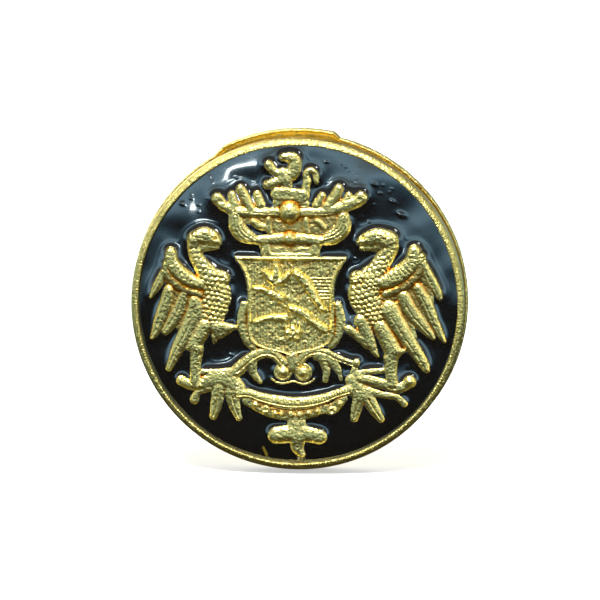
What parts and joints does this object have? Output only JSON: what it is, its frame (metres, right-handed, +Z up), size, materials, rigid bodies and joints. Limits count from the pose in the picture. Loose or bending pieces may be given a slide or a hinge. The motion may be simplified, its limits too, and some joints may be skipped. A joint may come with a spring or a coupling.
{
  "type": "cap badge",
  "caption": "round gilt cap badge with a relief crest of birds and a shield on black enamel, rim ring, back plate, screw post, locating pins and round nut",
  "frame": {"origin": "on the back seating plane, at the axis of the screw post", "axes": "+Z up as worn, face towards -Y, screw post towards +Y, +X to the right seen from the front"},
  "size_m": [0.0304, 0.0136, 0.0308],
  "materials": {
    "gilt_relief": "gilt, cast grain, worn bright on the high points",
    "gilt_shell": "gilt, fine cast grain",
    "black_enamel": "black resin enamel, high gloss",
    "fixing_brass": "turned brass, satin",
    "nut_brass": "pressed and turned brass, satin",
    "packing_card": "pressed card"
  },
  "bodies": {
    "badge": {"back_plate": "gilt_shell", "bead_row": "gilt_relief", "crest_base": "gilt_relief", "crest_hook": "gilt_relief", "crest_serpent": "gilt_relief", "cross_pendant": "gilt_relief", "crown": "gilt_relief", "crown_boss": "gilt_relief", "crown_orb": "gilt_relief", "enamel_crown_pocket": "black_enamel", "enamel_feather_gap": "black_enamel", "enamel_field": "black_enamel", "enamel_left_pocket": "black_enamel", "enamel_right_perch_gap": "black_enamel", "enamel_right_stem_gap": "black_enamel", "enamel_under_scroll": "black_enamel", "front_shell": "gilt_shell", "left_antler": "gilt_relief", "left_bird": "gilt_relief", "left_branch": "gilt_relief", "locating_pins": "fixing_brass", "packing_disc": "packing_card", "ribbon": "gilt_relief", "right_antler": "gilt_relief", "right_bird": "gilt_relief", "right_branch": "gilt_relief", "rim_ring": "gilt_shell", "screw_post": "fixing_brass", "scroll": "gilt_relief", "shield_flower": "gilt_relief", "shield_lower_bar": "gilt_relief", "shield_lower_bend": "gilt_relief", "shield_mantle_left": "gilt_relief", "shield_mantle_right": "gilt_relief", "shield_plate": "gilt_relief", "shield_sprig": "gilt_relief", "shield_upper_bar": "gilt_relief", "shield_upper_bend": "gilt_relief"},
    "washer": {"washer": "nut_brass"},
    "nut": {"nut_disc": "nut_brass", "nut_bush": "nut_brass"}
  },
  "joints": [
    {"name": "washer_travel", "type": "slide", "parent": "badge", "child": "washer", "axis": [0, 1, 0], "range_m": [-0.002, 0.005]},
    {"name": "nut_turn", "type": "hinge", "parent": "washer", "child": "nut", "pos_m": [0, 0.0044, 0], "axis": [0, 1, 0], "range_deg": [-1440, 3600]}
  ],
  "couplings": [
    {"joint": "nut_turn", "follows": "washer_travel", "rad_per_m": 12566}
  ]
}
